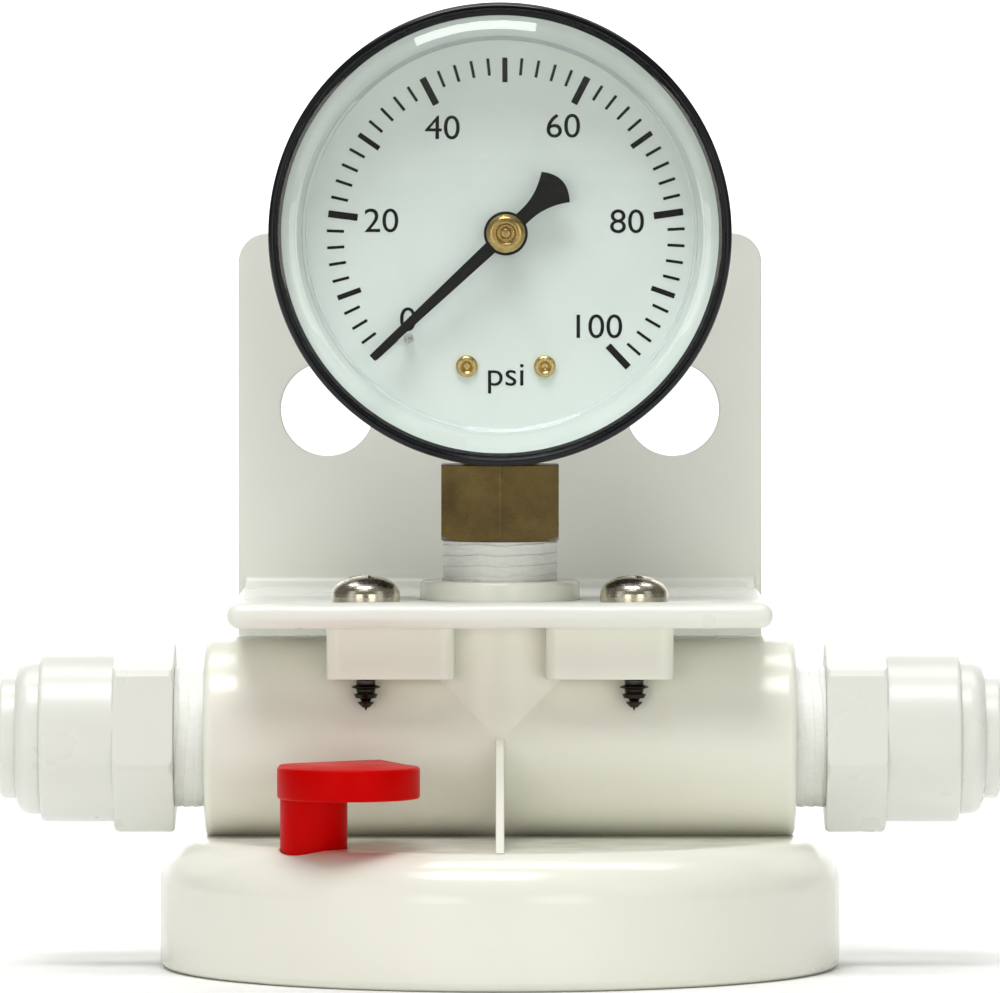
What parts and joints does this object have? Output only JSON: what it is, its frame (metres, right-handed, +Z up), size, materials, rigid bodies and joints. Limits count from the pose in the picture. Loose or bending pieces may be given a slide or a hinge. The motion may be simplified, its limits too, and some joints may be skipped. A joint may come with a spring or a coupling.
{
  "type": "reverse osmosis filter head",
  "caption": "Head of a cartridge water filter: round cap under a tee manifold, with a dial pressure gauge, quarter-turn lever, push-fit tube ports and a steel wall bracket.",
  "frame": {"origin": "centre of the cartridge socket's mouth, in the plane of the cap's rim", "axes": "+Z up along the socket's axis, away from the cartridge; +Y towards the wall; +X to the right as seen from the front"},
  "size_m": [0.121, 0.0833, 0.1166],
  "materials": {
    "white_housing": "satin moulded",
    "pale_acetal": "satin",
    "black_rubber": "matt",
    "white_coated_steel": "semi-gloss powder coat",
    "plated_screws": "nickel plated",
    "red_plastic": "satin moulded",
    "brass": "turned",
    "spring_steel": "bright",
    "sealing_tape": "waxy film",
    "black_coated_steel": "gloss black",
    "clear_lens": "clear, polished",
    "dial_white": "matt print",
    "bronze_tube": "drawn",
    "black_needle": "matt black",
    "white_fitting": "smooth acetal"
  },
  "bodies": {
    "head": {"cap": "white_housing", "bayonet_ring": "pale_acetal", "socket_gasket": "black_rubber", "outlet_spigot": "pale_acetal", "spigot_seals": "black_rubber", "manifold_body": "white_housing", "wall_bracket": "white_coated_steel", "bracket_screws": "plated_screws", "gauge_socket": "brass", "gauge_thread_tape": "sealing_tape", "gauge_case": "black_coated_steel", "case_plug": "black_rubber", "case_screws": "spring_steel", "gauge_lens": "clear_lens", "gauge_dial": "dial_white", "dial_screws": "brass", "stop_pin": "spring_steel", "bourdon_tube": "bronze_tube", "tube_tip": "brass", "movement_back_plate": "brass", "movement_front_plate": "brass", "movement_pillars": "brass", "hairspring": "bronze_tube", "left_fitting_body": "white_fitting", "left_thread_tape": "sealing_tape", "left_retaining_cap": "white_fitting", "left_grab_ring": "spring_steel", "left_tube_seal": "black_rubber", "right_fitting_body": "white_fitting", "right_thread_tape": "sealing_tape", "right_retaining_cap": "white_fitting", "right_grab_ring": "spring_steel", "right_tube_seal": "black_rubber"},
    "lever": {"valve_lever": "red_plastic", "valve_spindle": "brass", "spindle_seals": "black_rubber", "spindle_snap_ring": "spring_steel"},
    "pointer": {"pointer": "black_needle", "pointer_hub": "brass", "pointer_arbor": "brass"},
    "sector": {"sector_gear": "brass"},
    "link": {"tip_link": "brass"},
    "collet_left": {"left_collet": "white_fitting"},
    "collet_right": {"right_collet": "white_fitting"}
  },
  "joints": [
    {"name": "lever_turn", "type": "hinge", "parent": "head", "child": "lever", "pos_m": [-0.0221, -0.026, 0.02], "axis": [0, 0, -1], "range_deg": [0, 90]},
    {"name": "pointer_turn", "type": "hinge", "parent": "head", "child": "pointer", "pos_m": [0.0007, 0, 0.0889], "axis": [0, 1, 0], "range_deg": [0, 269.5], "stiffness_Nm_per_rad": 0.0002, "springref_deg": -28.65},
    {"name": "sector_turn", "type": "hinge", "parent": "head", "child": "sector", "pos_m": [0.0007, 0, 0.07765], "axis": [0, 1, 0], "range_deg": [-34, 0]},
    {"name": "link_turn", "type": "hinge", "parent": "sector", "child": "link", "pos_m": [0.0001, 0, 0.07349], "axis": [0, 1, 0], "range_deg": [0, 34]},
    {"name": "collet_left_slide", "type": "slide", "parent": "head", "child": "collet_left", "axis": [1, 0, 0], "range_m": [0, 0.0013]},
    {"name": "collet_right_slide", "type": "slide", "parent": "head", "child": "collet_right", "axis": [-1, 0, 0], "range_m": [0, 0.0013]}
  ],
  "couplings": [
    {"joint": "sector_turn", "follows": "pointer_turn", "ratio": -0.125},
    {"joint": "link_turn", "follows": "pointer_turn", "ratio": 0.125}
  ]
}
